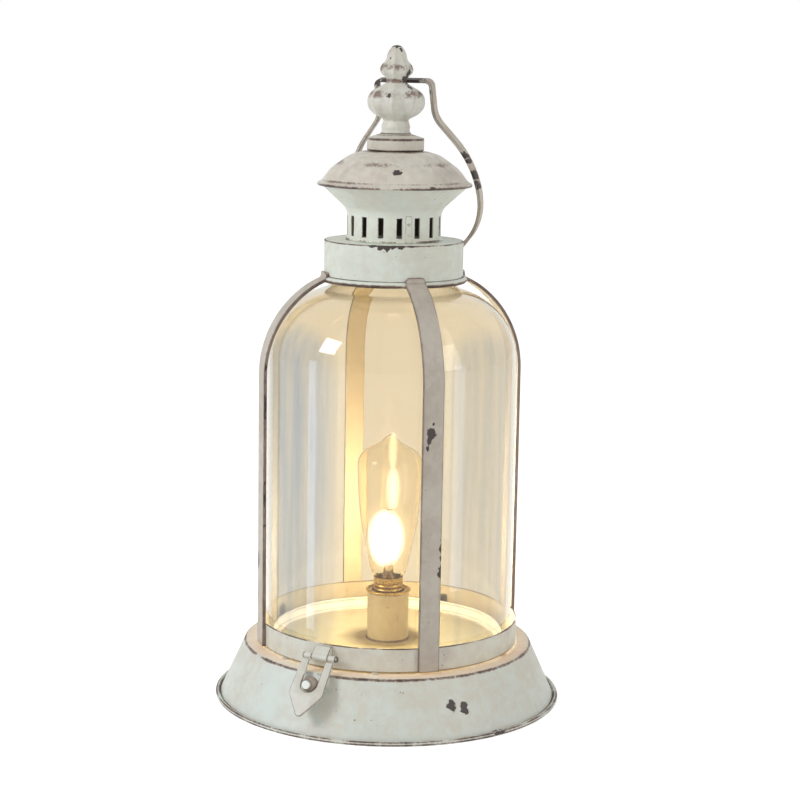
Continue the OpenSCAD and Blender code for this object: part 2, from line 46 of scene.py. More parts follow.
# %% [markdown]
# ## Camera
# The viewpoint was solved from the ellipses of the base and the bands: a long lens, a little above the lamp,
# looking slightly down and a hair out of level. The lens follows from the focal length in pixels.

# %% Camera
AZIMUTH, PITCH, ROLL = (math.radians(a) for a in (27.5, 9.61, 0.94))
EYE_BACK, EYE_UP = 1.767, 0.5633            # metres from the lamp's axis and above the floor
FOCAL_PX, FRAME_PX, CENTRE_PX = 2049.4, 800, 391.3


def put(name, data):
    """Puts an object that shows this data in the scene."""
    made = bpy.data.objects.new(name, data)
    bpy.context.scene.collection.objects.link(made)
    return made


eye = bpy.data.cameras.new("camera")
eye.sensor_width = 36
eye.lens = FOCAL_PX / FRAME_PX * eye.sensor_width
eye.shift_x = (FRAME_PX / 2 - CENTRE_PX) / FRAME_PX
eye.clip_start, eye.clip_end = 0.05, 30
camera = put("camera", eye)
camera.matrix_world = (Matrix.Rotation(AZIMUTH, 4, "Z") @ Matrix.Translation((0, -EYE_BACK, EYE_UP))
                       @ Matrix.Rotation(math.pi / 2 - PITCH, 4, "X") @ Matrix.Rotation(ROLL, 4, "Z"))
bpy.context.scene.camera = camera
bpy.context.scene.view_settings.view_transform = "Standard"
print("lens, mm:", round(eye.lens, 1))

# %% [markdown]
# ## Colour and nodes
# Paint charts and pictures give colours as sRGB hex, while Blender's sockets want linear light, so one function
# turns one into the other. Another adds any node, sets it and wires it, and the few nodes that every material
# here uses have a short name of their own.

# %% Helpers for materials
def linear(code):
    """The linear colour of an sRGB hex code."""
    parts = [int(code[i:i + 2], 16) / 255 for i in (1, 3, 5)]
    return [c / 12.92 if c <= 0.04045 else ((c + 0.055) / 1.055) ** 2.4 for c in parts] + [1.0]


def add(material, kind, inputs=None, **settings):
    """Adds a node; an input takes a number, a colour or another node's output."""
    made = material.node_tree.nodes.new("ShaderNode" + kind)
    for name, value in settings.items():
        setattr(made, name, value)
    for name, value in (inputs or {}).items():
        if isinstance(value, bpy.types.NodeSocket):
            material.node_tree.links.new(value, made.inputs[name])
        else:
            made.inputs[name].default_value = value
    return made


def fresh(name):
    """An empty material and its output node."""
    material = bpy.data.materials.new(name)
    material.use_nodes = True
    material.node_tree.nodes.clear()
    return material, add(material, "OutputMaterial")


def join(material, node, to, socket="Surface"):
    material.node_tree.links.new(node.outputs[0], to.inputs[socket])


def largest(material, values):
    """The largest of several node outputs, point by point."""
    most = values[0]
    for value in values[1:]:
        most = add(material, "Math", {0: most, 1: value}, operation="MAXIMUM").outputs[0]
    return most


def rays(material, *kinds):
    """1 for rays of these kinds, and 0 for the others."""
    path = add(material, "LightPath")
    return largest(material, [path.outputs[f"Is {kind} Ray"] for kind in kinds])


def product(material, a, b):
    return add(material, "Math", {0: a, 1: b}, operation="MULTIPLY").outputs[0]


def noise(material, place, size, detail, roughness=0.5):
    """Soft noise between 0 and 1, in patches of a size in mm. More detail and roughness make it more ragged."""
    return add(material, "TexNoise", {"Vector": place, "Scale": 1 / (size * MM), "Detail": detail,
                                      "Roughness": roughness}).outputs[0]


def stretch(material, value, low, high, new_low=0.0, new_high=1.0, curve="LINEAR"):
    """Values from low to high become values from new_low to new_high, and none falls outside those."""
    return add(material, "MapRange", {"Value": value, "From Min": low, "From Max": high, "To Min": new_low,
                                      "To Max": new_high}, interpolation_type=curve).outputs[0]


def blend(material, share, one, other):
    """One colour, or a share of the other."""
    return add(material, "Mix", {"Factor": share, "A": one, "B": other}, data_type="RGBA").outputs["Result"]

# %% [markdown]
# ## Studio
# A white sweep: the floor is pale and keeps the lamp's soft shadow, and the world is white wherever the camera,
# or a ray that glass or metal sends on, sees it. The same world lights the lamp less than that, so that the
# enamel keeps its shade. The camera looks down, so the glass bell mirrors what stands low and near it: strip
# lights stand beside it on the floor, where only the glass and the gloss show them.

# %% World and floor
SEEN = ("Camera", "Glossy", "Transmission")
WORLD_LIGHTS, WORLD_SEEN = 0.5, 1.0         # the world's strength where it lights things, and where it is seen
FLOOR_LIFT, FLOOR_HALF = 0.62, 6            # what the floor adds to its shade where it is seen; half its side, m

world = bpy.data.worlds.new("white studio")
world.use_nodes = True
world.node_tree.nodes.clear()
level = stretch(world, rays(world, *SEEN), 0, 1, WORLD_LIGHTS, WORLD_SEEN)
sky = add(world, "Background", {"Color": (1, 1, 1, 1), "Strength": level})
add(world, "OutputWorld", {"Surface": sky.outputs[0]})
bpy.context.scene.world = world

floor_paint, floor_out = fresh("matt white sweep")
lift = product(floor_paint, rays(floor_paint, *SEEN), FLOOR_LIFT)
matt = add(floor_paint, "BsdfPrincipled", {"Base Color": linear("#F4F4F4"), "Roughness": 0.9,
                                           "Emission Color": (1, 1, 1, 1), "Emission Strength": lift})
join(floor_paint, matt, floor_out)

bm = bmesh.new()
bmesh.ops.create_grid(bm, x_segments=1, y_segments=1, size=FLOOR_HALF)
sweep = put("floor", bpy.data.meshes.new("floor"))
bm.to_mesh(sweep.data)
bm.free()
sweep.data.materials.append(floor_paint)
print("floor, m across:", 2 * FLOOR_HALF)


# %% Lamps of the studio
def light(name, kind, power, colour):
    """A new lamp and the object that holds it."""
    lamp = bpy.data.lights.new(name, kind)
    lamp.energy = power
    lamp.color = linear(colour)[:3]
    return lamp, put(name, lamp)


def soft_box(name, angle, distance, height, size, power, colour, aim_at=0.3, mirrored_only=False):
    """A rectangular lamp at an angle round the camera's side, aimed at a height on the lantern's axis."""
    lamp, stand = light(name, "AREA", power, colour)
    lamp.shape = "RECTANGLE"
    lamp.size, lamp.size_y = size
    turn = AZIMUTH + math.radians(angle)
    stand.location = (distance * math.sin(turn), -distance * math.cos(turn), height)
    aim = Vector((0, 0, aim_at)) - stand.location
    stand.rotation_euler = aim.to_track_quat("-Z", "Y").to_euler()
    stand.visible_camera = False
    stand.visible_diffuse = not mirrored_only
    print(name, "at", [round(c, 2) for c in stand.location])


soft_box("key soft box", -64, 1.9, 1.3, (0.6, 0.7), 17, "#FFFFFF")
soft_box("fill soft box", 55, 2.2, 1.0, (0.8, 1.4), 9, "#FFF6EA")
soft_box("left strip light", -66.5, 0.371, 0.17, (0.05, 0.34), 0.2, "#C6D8F6", 0.17, mirrored_only=True)
soft_box("left blue panel", -49, 0.405, 0.17, (0.2, 0.34), 0.14, "#B9CCF0", 0.17, mirrored_only=True)
soft_box("right strip light", 56, 0.385, 0.19, (0.07, 0.3), 0.14, "#D4E0FA", 0.19, mirrored_only=True)

# %% [markdown]
# ## Worn enamel
# Every metal part of the lamp was sprayed with a pale, slightly duck-egg cream and then rubbed back by hand: brown
# primer shows along folds and rims, bare dark iron where it was rubbed hardest, and some flakes are knocked off.
# A mask along edges could be painted by hand, or come from the mesh's own curvature. The Bevel node is simpler:
# it gives the normal of a rounded copy of the surface, which differs from the true one only near an edge, by a
# distance that is set in real millimetres. Noise breaks that mask up, and flakes are small ragged blobs at
# places that are listed.

# %% Wear at edges and rolls, and knocked-off flakes
PRIMER, IRON = "#7F6B5F", "#3B312D"


def edge_wear(material, width):
    """How far a rounded normal leans away from the true one, from 0 on a face to 1 at an edge."""
    rounded = add(material, "Bevel", {"Radius": width * MM}, samples=6)
    true = add(material, "NewGeometry")
    lean = add(material, "VectorMath", {0: rounded.outputs[0], 1: true.outputs["Normal"]}, operation="DOT_PRODUCT")
    return stretch(material, lean.outputs["Value"], 1.0, 0.93)


def ring_wear(material, place, rings):
    """One mask for each ring, by the distance of a point's (radius, height) from it."""
    flat = add(material, "VectorMath", {0: place, 1: (1, 1, 0)}, operation="MULTIPLY")
    radius = add(material, "VectorMath", {0: flat.outputs[0]}, operation="LENGTH")
    height = add(material, "SeparateXYZ", {0: place})
    profile = add(material, "CombineXYZ", {"X": radius.outputs["Value"], "Y": height.outputs["Z"]})
    masks = []
    for ring_r, ring_z, reach, strength in rings:
        away = add(material, "VectorMath", {0: profile.outputs[0], 1: (ring_r * MM, ring_z * MM, 0)},
                   operation="DISTANCE")
        masks.append(stretch(material, away.outputs["Value"], reach * MM, 0.0, 0.0, strength))
    return masks


def flakes_at(material, place, chips):
    """One mask for each chip, an ellipsoid whose outline a noise 4 mm wide makes ragged."""
    outline = stretch(material, noise(material, place, 4, 5, 0.65), 0.3, 0.7, 0.35, 1.35)
    masks = []
    for centre, wide, high in chips:
        off = add(material, "VectorMath", {0: place, 1: [c * MM for c in centre]}, operation="SUBTRACT")
        off = add(material, "VectorMath", {0: off.outputs[0], 1: (1000 / wide, 1000 / wide, 1000 / high)},
                  operation="MULTIPLY")
        far = add(material, "VectorMath", {0: off.outputs[0]}, operation="LENGTH")
        flake = add(material, "Math", {0: far.outputs["Value"], 1: outline}, operation="LESS_THAN")
        masks.append(flake.outputs[0])
    return masks


# %% The enamel's recipe
def worn_enamel(name, pale, warm, rub=1.0, edge=1.3, grime=0.25, chips=(), rings=(), gloss=0.42, specks=1.0):
    """Rubbed paint. rub is how hard it was sanded and edge the width in mm of what shows at sharp edges. A chip is
    ((x, y, z), half width, half height) in mm. A ring is (radius, height, reach, strength) in mm: a line all round
    the lamp where a roll or a fold was rubbed through."""
    material, out = fresh(name)
    place = add(material, "TexCoord").outputs["Object"]

    # cloudy tint: the spray coat is thicker in places 70 mm wide, and mottled at 9 mm
    cloud, mottle = noise(material, place, 70, 3), noise(material, place, 9, 5, 0.65)
    tint = stretch(material, product(material, cloud, mottle), 0.15, 0.36)
    coat = blend(material, tint, linear(pale), linear(warm))

    # hand-rubbed haze of primer: patches 25 mm wide, ragged down to 1 mm
    haze = stretch(material, noise(material, place, 25, 8, 0.7), 0.5, 0.75, 0.0, grime)
    coat = blend(material, haze, coat, linear(PRIMER))

    # grit 2.4 mm wide in patches of 24 mm breaks the wear at edges and rolls up
    mask = largest(material, [edge_wear(material, edge)] + ring_wear(material, place, rings))
    grit, patch = noise(material, place, 2.4, 6, 0.75), noise(material, place, 24, 2)
    bite = stretch(material, product(material, grit, patch), 0.12, 0.36)
    worn = product(material, mask, bite)
    rubbed = stretch(material, worn, 0.1 / rub, 0.34 / rub, curve="SMOOTHSTEP")
    bare = stretch(material, worn, 0.42 / rub, 0.62 / rub, curve="SMOOTHSTEP")

    # pin holes up to 1.3 mm across, one in each cell of 5 mm, in patches
    cell = add(material, "TexVoronoi", {"Vector": place, "Scale": 1 / (5 * MM)})
    size = stretch(material, patch, 0.46, 0.72, 0.0, 0.13 * specks)
    holes = add(material, "Math", {0: cell.outputs["Distance"], 1: size}, operation="LESS_THAN").outputs[0]
    bare = largest(material, [bare, product(material, holes, 0.75)] + flakes_at(material, place, chips))
    colour = blend(material, bare, blend(material, rubbed, coat, linear(PRIMER)), linear(IRON))

    # relief: the paint film stands 0.15 mm proud of the flakes, over a skin that is faintly pitted at 1.2 mm
    pits = product(material, noise(material, place, 1.2, 3), 0.35)
    depth = add(material, "Math", {0: pits, 1: bare}, operation="SUBTRACT")
    relief = add(material, "Bump", {"Height": depth.outputs[0], "Strength": 0.6, "Distance": 0.15 * MM})
    paint = add(material, "BsdfPrincipled", {"Base Color": colour, "Normal": relief.outputs[0],
                                             "Roughness": stretch(material, mottle, 0.3, 0.7, gloss, gloss + 0.2)})
    join(material, paint, out)
    return material

# %% [markdown]
# ## Shapes from a bent path
# Most of this lamp is spun sheet metal or bent flat bar. Both start as a line in a plane made of straight runs
# and round bends, so one function walks such a line, and another gives it a thickness. A spun part is that strip
# turned round the lamp's axis, and a bar is the same strip pulled sideways.

# %% Paths and spinning
def walk(moves, at, heading, step=6):
    """Points and headings along runs [length, 0] and bends [radius, turn], in mm and degrees."""
    points, (x, z) = [], at
    for size, turn in moves:
        if turn == 0:
            points.append((x, z, heading))
            x, z = x + size * math.cos(math.radians(heading)), z + size * math.sin(math.radians(heading))
        else:
            count = math.ceil(abs(turn) / step)
            side = math.copysign(size, turn)
            cx, cz = x - side * math.sin(math.radians(heading)), z + side * math.cos(math.radians(heading))
            for k in range(count + 1):
                h = math.radians(heading + turn * k / count)
                if k < count:
                    points.append((cx + side * math.sin(h), cz - side * math.cos(h), math.degrees(h)))
            x, z, heading = cx + side * math.sin(h), cz - side * math.cos(h), heading + turn
    points.append((x, z, heading))
    return points


def beside(path, gap):
    """The line that runs beside a path, at a gap to its left."""
    return [(x - gap * math.sin(math.radians(h)), z + gap * math.cos(math.radians(h))) for x, z, h in path]


def strip(path, thickness):
    """The closed outline of a sheet of one thickness along a path."""
    return beside(path, thickness / 2) + beside(path, -thickness / 2)[::-1]


def circle(radius, at, count=20):
    return [(at[0] + radius * math.cos(2 * math.pi * k / count), at[1] + radius * math.sin(2 * math.pi * k / count))
            for k in range(count)]


def spin_outlines(bm, outlines, steps=168, closed=True):
    """Turns outlines of (radius, height) in mm round the Z axis into one mesh."""
    for outline in outlines:
        verts = [bm.verts.new((r * MM, 0, z * MM)) for r, z in outline]
        pairs = list(zip(verts, verts[1:] + verts[:1])) if closed else list(zip(verts, verts[1:]))
        edges = [bm.edges.new(pair) for pair in pairs]
        bmesh.ops.spin(bm, geom=verts + edges, cent=(0, 0, 0), axis=(0, 0, 1), angle=2 * math.pi, steps=steps,
                       use_merge=True, use_duplicate=False)
    bmesh.ops.remove_doubles(bm, verts=bm.verts, dist=1e-6)
    bmesh.ops.recalc_face_normals(bm, faces=bm.faces)


# %% Turning, moving and rounding, in mm and degrees
def swing(bm, angle, axis, verts=None):
    """Turns points, or the whole mesh, round an axis through the origin."""
    bmesh.ops.rotate(bm, verts=verts or bm.verts, cent=(0, 0, 0),
                     matrix=Matrix.Rotation(math.radians(angle), 3, axis))


def shift(bm, x, y, z, verts=None):
    """Moves points, or the whole mesh."""
    bmesh.ops.translate(bm, verts=verts or bm.verts, vec=(x * MM, y * MM, z * MM))


def round_off(bm, edges, size, segments):
    bmesh.ops.bevel(bm, geom=edges, offset=size * MM, segments=segments, profile=0.5, affect="EDGES", material=-1)


def break_edges(bm, size, sharper=60, segments=3):
    """Rounds every edge that is sharper than an angle."""
    sharp = [e for e in bm.edges if len(e.link_faces) == 2 and e.calc_face_angle(0) > math.radians(sharper)]
    round_off(bm, sharp, size, segments)


# %% Faces by where they look, and finished pieces
def looks_inwards(face):
    """Faces the lamp's axis, or straight down."""
    outwards = Vector((face.center.x, face.center.y, 0)).normalized()
    return face.normal.dot(outwards) < -0.2 or face.normal.z < -0.9


def looks_sideways(face):
    around = Vector((-face.center.y, face.center.x, 0)).normalized()
    return abs(face.normal.dot(around)) > 0.8


def is_inner_floor(face):
    return face.normal.z > 0.9 and face.center.xy.length < 100 * MM


def finish_piece(bm, name, body, material, stands_for=(), crease=40, also=()):
    """Puts a mesh in the scene, smooth but for edges sharper than crease, riding on its body. Each pair in also is
    a rule for faces and the finish that they take instead."""
    mesh = bpy.data.meshes.new(name)
    bm.to_mesh(mesh)
    bm.free()
    mesh.polygons.foreach_set("use_smooth", [True] * len(mesh.polygons))
    mesh.set_sharp_from_angle(angle=math.radians(crease))
    mesh.materials.append(material)
    for rule, finish in also:
        mesh.materials.append(finish)
        for face in mesh.polygons:
            if rule(face):
                face.material_index = len(mesh.materials) - 1
    piece = put(name, mesh)
    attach(piece, body)
    if stands_for:
        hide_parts(*stands_for)
    print(name, "faces:", len(mesh.polygons))
    return piece

# %% [markdown]
# ## Finishes
# All the painted parts share one recipe, with small differences: the skirt is the coolest and cleanest, the bars of
# the cage are a darker taupe, and the bail is rubbed nearly bare. Some finishes hold painted light and shade: the
# floor inside the glass is darker as painted shade, the bars' inner faces are paler as painted light of the bulb, and
# the insides of the collar and chimney are bare iron that is dark also as painted shade. The flakes listed here were
# placed by sending a line from the camera through each one and finding where it meets the metal.

# %% Enamels
skirt_enamel = worn_enamel(
    "duck-egg enamel on spun steel", "#D9E1DA", "#D5D3C7", rub=1.2, edge=1.8, grime=0.1, specks=1.1,
    chips=[((105.3, -85.4, 27), 4.2, 6.5), ((113.4, -77.1, 24.5), 4.6, 6.5), ((139.7, -60.9, 2.5), 8, 1.6)],
    rings=[(127.2, 49.6, 2.4, 1.0), (149.4, 2.6, 1.8, 1.0), (151.6, 3.6, 1.3, 0.8), (152.3, 1.4, 1.2, 0.9)])
# The floor inside the glass is painted darker than the skirt: painted shade, as the filament sends less light
# straight down.
shaded_floor_enamel = worn_enamel("cream enamel inside the glass, darkened as painted shade", "#A5A287", "#9D987B", grime=0.12, edge=0.6)
ring_enamel = worn_enamel("enamel on the inner ring", "#E2DFCF", "#DDD6C2", edge=0.8, grime=0.1,
                          rings=[(101.4, 60.2, 0.9, 0.9)])
band_enamel = worn_enamel("rubbed enamel on rolled band", "#DADCD0", "#D3CDBF", rub=1.4, edge=1.2, grime=0.22,
                          rings=[(114, 72.3, 1.1, 0.9)])
bar_enamel = worn_enamel(
    "taupe enamel on flat bar", "#C6C0B4", "#B8AEA2", rub=1.5, edge=1.6, grime=0.2,
    chips=[((80, -85.4, 250.5), 2.6, 6), ((81.8, -83.7, 256), 4.6, 4.5), ((82.6, -82.9, 263), 1.4, 1.6),
           ((79.4, -86.2, 243), 1.8, 3), ((88.6, -76.8, 158), 1.8, 4), ((88.9, -76.5, 150), 1.8, 3),
           ((88.6, -76.9, 138), 2.6, 6), ((91.3, -74.1, 322), 1.4, 8), ((-90.7, -73.8, 187), 3, 9),
           ((-86.1, -79.3, 126), 2, 7)],
    rings=[(63, 379, 5, 0.25)])
# The bars' inner faces are paler than their outer faces: painted light of the bulb that falls on them.
lit_bar_inside = worn_enamel("enamel on the bars' inner face, paler as painted bulb light", "#EAE6DC", "#E4DDCF", rub=1.2, edge=1.2, grime=0.1)
bar_edge = worn_enamel("rubbed edge of the bars", "#9A887B", "#6A574C", rub=2.0, edge=1.6, grime=0.5, specks=1.5,
                       chips=[((-77.6, -88.3, 182), 4, 10), ((-78, -88, 196), 4, 3), ((-77.6, -88, 160), 4, 2.5),
                              ((-77.6, -88, 262), 4, 14), ((-77.6, -88, 300), 3, 10)])
collar_enamel = worn_enamel(
    "enamel on the collar", "#E1EAE2", "#DADCD0", rub=1.1, edge=1.4, grime=0.12,
    chips=[((11.5, -59, 404.6), 5, 2.4), ((17.5, -57.5, 404.2), 4, 3.2), ((22.6, -55.8, 402.8), 3.2, 4.6),
           ((27.5, -53.4, 404.2), 4, 3.2), ((33, -50.2, 404.4), 4, 2.8), ((39.5, -45.2, 404.8), 4, 2)],
    rings=[(60.2, 404.5, 1.5, 0.85), (63.6, 369.8, 2.6, 1.0), (60.4, 373.8, 0.9, 0.5), (41.4, 405, 1.2, 0.8)])
chimney_enamel = worn_enamel(
    "enamel on the chimney", "#E2EAE1", "#DDDDD1", rub=1.1, edge=0.9, grime=0.12, specks=0.8,
    rings=[(41.4, 405.8, 1.3, 0.7), (63.5, 451.4, 1.6, 0.6)])
cap_enamel = worn_enamel(
    "enamel on the cap", "#E0DDD2", "#CFC6B9", rub=1.3, edge=1.2, grime=0.34, gloss=0.34,
    chips=[((27, -48.3, 465.8), 5, 3.4), ((55.1, -37.1, 453.2), 2.6, 1.4)],
    rings=[(66.2, 451.8, 1.9, 0.95), (62.5, 455, 2.6, 0.45), (48.8, 471.2, 7, 0.33), (27, 480.2, 7, 0.36)])
drum_enamel = worn_enamel("enamel on the drum", "#D2CFC3", "#C9C2B5", rub=1.3, edge=1.6, grime=0.25,
                          rings=[(24.5, 490.8, 1.5, 0.8), (24.3, 481.2, 1.4, 0.9), (16, 494.6, 3, 0.4)])
finial_enamel = worn_enamel(
    "enamel on cast iron", "#DEDFD6", "#D0CABD", rub=1.5, edge=2.0, grime=0.45,
    chips=[((4.2, -23.2, 528.3), 3.6, 3), ((-1.9, -8.6, 559), 1.3, 1.5), ((0.5, 0, 570.5), 6.5, 4.4),
           ((6, -2.5, 567), 2.6, 3), ((9.5, -0.8, 541), 4.6, 5.5), ((12.8, -1, 546.5), 4, 4.5),
           ((14.5, -1.5, 535.5), 4, 2.5)],
    rings=[(22, 529.5, 8, 0.4), (13.4, 552, 6, 0.38), (9, 540, 3, 0.5)])
bail_enamel = worn_enamel(
    "rubbed enamel on the bail", "#CFC9BC", "#BFB4A6", rub=1.5, edge=1.6, grime=0.45,
    chips=[((52, 28.5, 477.5), 6.5, 4), ((56.3, 30, 473), 5, 2.6), ((61.5, 33, 461), 6.5, 6),
           ((64.3, 35, 453.5), 6, 5), ((-27, 12, 539.5), 8, 5), ((-16, 12, 540), 5, 3), ((9, 12, 540), 14, 5),
           ((23.5, 14, 531), 3, 5)])
hasp_enamel = worn_enamel("rubbed enamel on the hasp", "#DADBD2", "#D0CABE", rub=1.6, edge=1.2, grime=0.2)
# Inside the collar and chimney: bare iron, made dark also as painted shade where the bulb's light would reach.
bare_iron_and_painted_shade = worn_enamel("bare iron inside the chimney, dark also as painted shade", "#5A4D42", "#463A32", grime=0.4, edge=0.8)
print("enamels:", len(bpy.data.materials) - 1)


# %% Bare metals and plastics
GRAIN, SPREAD = 1.5, 0.12                   # the grain's width in mm, and what it adds to or takes from the gloss


def plain(name, colour, rough, metallic=0.0):
    """A finish of one colour with a slight cloud and grain in its roughness."""
    material, out = fresh(name)
    place = add(material, "TexCoord").outputs["Object"]
    grain = noise(material, place, GRAIN, 4)
    uneven = stretch(material, grain, 0.3, 0.7, max(rough - SPREAD, 0.03), rough + SPREAD)
    tone = blend(material, grain, [c * 0.6 for c in linear(colour)[:3]] + [1], linear(colour))
    relief = add(material, "Bump", {"Height": grain, "Strength": 0.3, "Distance": 0.05 * MM})
    shader = add(material, "BsdfPrincipled", {"Base Color": tone, "Roughness": uneven, "Metallic": metallic,
                                              "Normal": relief.outputs[0]})
    join(material, shader, out)
    return material


bare_steel = plain("dull bare steel", "#8F8A82", 0.42, metallic=1.0)
bright_steel = plain("bright rubbed steel", "#D2D2C8", 0.45, metallic=1.0)
rolled_brass = plain("rolled brass", "#D8B66C", 0.3, metallic=1.0)
bakelite = plain("moulded phenolic", "#3A2C24", 0.35)
soft_rubber = plain("matt black rubber", "#2B2A28", 0.8)
clear_vinyl = plain("translucent vinyl", "#D6D3C8", 0.4)

# %% [markdown]
# ## Glass
# Blown glass shows itself by three things: it mirrors whatever is bright, it bends what is behind it near its
# outline, and it is faintly coloured where the eye looks along the wall. A real wall with two faces gives the
# first two, and a weak absorbing volume gives the third. Lamps have to reach what is behind it, so their shadow
# rays see a clear pane in its place.

# %% Glass finishes
# The haze's bluish colour is partly a painted reflection of the cool studio on the bell.
PATCH_EDGE, REFLECTION_HAZE = (92 * MM, 105 * MM), "#B4BFCE"       # a patch grows between these distances out along its angle


def clear_glass(name, tint, film=0.0, patches=(), body_tint=None, density=0.0):
    """Glass with a wiped-on haze, streaked up and down as a cloth leaves it; its bluish colour also paints
    reflections of the studio on the bell. Film is its share of each face, and a patch of it is (angle round the lamp,
    strength), with a soft edge."""
    material, out = fresh(name)
    seen = add(material, "LightPath")
    glass = add(material, "BsdfPrincipled", {"Base Color": linear(tint), "Roughness": 0.0, "IOR": 1.45,
                                             "Transmission Weight": 1.0})
    if film:
        place = add(material, "TexCoord").outputs["Object"]
        smears = add(material, "Mapping", {"Vector": place, "Scale": (1, 1, 0.06)})
        # streaks 9 mm wide and about 150 mm long
        streak = stretch(material, noise(material, smears.outputs[0], 9, 4), 0.3, 0.7, 0.45, 1.0)
        spread = []
        for angle, strength in patches:
            towards = (math.sin(math.radians(angle)), -math.cos(math.radians(angle)), 0)
            side = add(material, "VectorMath", {0: place, 1: towards}, operation="DOT_PRODUCT")
            spread.append(stretch(material, side.outputs["Value"], *PATCH_EDGE, 0.0, strength, "SMOOTHSTEP"))
        share = product(material, streak, largest(material, spread))
        clear = stretch(material, share, 0, 1, 1.0, 1 - film)
        haze = blend(material, share, linear(tint), linear(REFLECTION_HAZE))
        material.node_tree.links.new(clear, glass.inputs["Transmission Weight"])
        material.node_tree.links.new(haze, glass.inputs["Base Color"])
    pane = add(material, "BsdfTransparent", {"Color": linear("#FFFDF8")})
    either = add(material, "MixShader", {0: seen.outputs["Is Shadow Ray"], 1: glass.outputs[0], 2: pane.outputs[0]})
    join(material, either, out)
    if body_tint:
        wall = add(material, "VolumeAbsorption", {"Color": linear(body_tint), "Density": density})
        join(material, wall, out, "Volume")
    return material


# Its two patches, at the front left and the right of the bell, paint the bluish reflections there.
cloche_glass = clear_glass("blown soda glass", "#F0E6D2", film=0.14, patches=[(-24, 1.0), (76, 0.6)],
                           body_tint="#C9C4AA", density=45.0)
lamp_glass = clear_glass("thin bulb glass", "#FFF9EC")

# %% White-hot wire, brightest low down
BRIGHT_TO_Z, DIM_FROM_Z, BRIGHT, DIM = 148, 164, 8.0, 1.0
hot_wire, wire_out = fresh("white-hot tungsten")
up = add(hot_wire, "SeparateXYZ", {0: add(hot_wire, "TexCoord").outputs["Object"]})
glow = stretch(hot_wire, up.outputs["Z"], BRIGHT_TO_Z * MM, DIM_FROM_Z * MM, BRIGHT, DIM)
heat = add(hot_wire, "Emission", {"Color": linear("#FFE2A8"), "Strength": glow})
join(hot_wire, heat, wire_out)
print("finish:", hot_wire.name)

# %% [markdown]
# ## Base
# The skirt is one sheet of steel spun over a former, with its foot rolled round a wire. Spinning a strip of the
# sheet's true thickness gives the sharp upper shoulder and the small flange above the roll.

# %% Base skirt
SHEET = 1.2
LIP_R, FLANGE_Z, FLOOR_Z, SKIRT_HEADING = 152.5, 1.4, 50, 114.3
FOOT_BEND, TOP_BEND, WIRE_R = 1, 2, 2
turn = 180 - SKIRT_HEADING
bends_rise = (FOOT_BEND + TOP_BEND) * (1 - math.cos(math.radians(turn)))
slope = (FLOOR_Z - SHEET / 2 - FLANGE_Z - bends_rise) / math.sin(math.radians(SKIRT_HEADING))
skirt_path = walk([[2.4, 0], [FOOT_BEND, -turn], [slope, 0], [TOP_BEND, turn], [14, 0], [105.5, 0]],
                  (LIP_R - 1.9, FLANGE_Z), 180)
bm = bmesh.new()
spin_outlines(bm, [strip(skirt_path, SHEET), circle(WIRE_R, (LIP_R - WIRE_R, 1.95))], steps=192)
# Faces of the floor inside the glass take the darker finish: painted shade.
finish_piece(bm, "skirt", "base", skirt_enamel, ["base_skirt"],
             also=[(is_inner_floor, shaded_floor_enamel)])

# %% Inner ring: a wall with a foot and a rolled top
RING_R, RING_IN, RING_FOOT_R, RING_TOP = 102.5, 101.3, 95.5, 58.6
bm = bmesh.new()
spin_outlines(bm, [[(RING_IN, FLOOR_Z), (RING_R, FLOOR_Z), (RING_R, RING_TOP), (RING_IN, RING_TOP)],
                   [(RING_FOOT_R, FLOOR_Z), (101.4, FLOOR_Z), (101.4, 51.2), (RING_FOOT_R, 51.2)],
                   circle(1.1, (101.4, 59.15), 16)], steps=192)
finish_piece(bm, "inner_ring", "base", ring_enamel, ["locating_ring"])

# %% [markdown]
# ## Lampholder
# A cream tube hides the holder. Its mouth carries a rolled brass-coloured ring that catches the light of the bulb.

# %% Lampholder
sleeve_enamel = worn_enamel("crackled enamel on the lampholder tube", "#CDC09E", "#BDAE88", rub=1.3, edge=0.9,
                            grime=0.45, specks=2.2, rings=[(18.6, 50.4, 1.6, 1.0), (18.4, 92.6, 1.2, 0.5)])
TUBE_IN, TUBE_R, TUBE_TOP = 17.4, 18.4, 93
bm = bmesh.new()
spin_outlines(bm, [[(TUBE_IN, FLOOR_Z), (TUBE_R + 1, FLOOR_Z), (TUBE_R + 1, 51), (TUBE_R, 51.4), (TUBE_R, TUBE_TOP),
                    (TUBE_IN, TUBE_TOP)]], steps=96)
finish_piece(bm, "lampholder_sleeve", "base", sleeve_enamel, ["lampholder_tube"])
bm = bmesh.new()
spin_outlines(bm, [[(14.4, TUBE_TOP), (19, TUBE_TOP), (19, TUBE_TOP + 1), (14.4, TUBE_TOP + 1)],
                   circle(1.3, (18.6, TUBE_TOP + 1), 16)], steps=96)
finish_piece(bm, "lampholder_rim", "base", rolled_brass, ["lampholder_ring"])

# %% [markdown]
# ## Cage
# A band of rolled strip stands round the ring on the base, and four flat bars rise from it, bend over the shoulder
# of the glass and are hammered flat against the collar. Each bar is the strip of one path pulled to the bar's
# width, with its long edges broken by a small bevel; where it meets the collar its points are moved out to the
# collar's curve.

# %% Band
BAND_R, BAND_Z, BAND_TOP = 114, 52, 72.3
COLLAR_R, BEAD_R, BEAD_Z = 60.2, 2.6, 371.2
bm = bmesh.new()
spin_outlines(bm, [[(BAND_R - SHEET, BAND_Z), (BAND_R, BAND_Z), (BAND_R, BAND_TOP), (BAND_R - SHEET, BAND_TOP)]],
              steps=192)
finish_piece(bm, "foot_band", "cage", band_enamel, ["cage_band"])

# %% Bars
STRAP_W, STRAP_T, SHOULDER_R, TAB_R = 18, 3, 91, 61.9
TAB_BEND, TAB_Z, CORNER_Z, CORNER_R = 3, 368, 377.5, 4.4    # the flat tab at a bar's end: bend, start, round corners
shoulder = (BAND_R + STRAP_T - SHOULDER_R, 290)


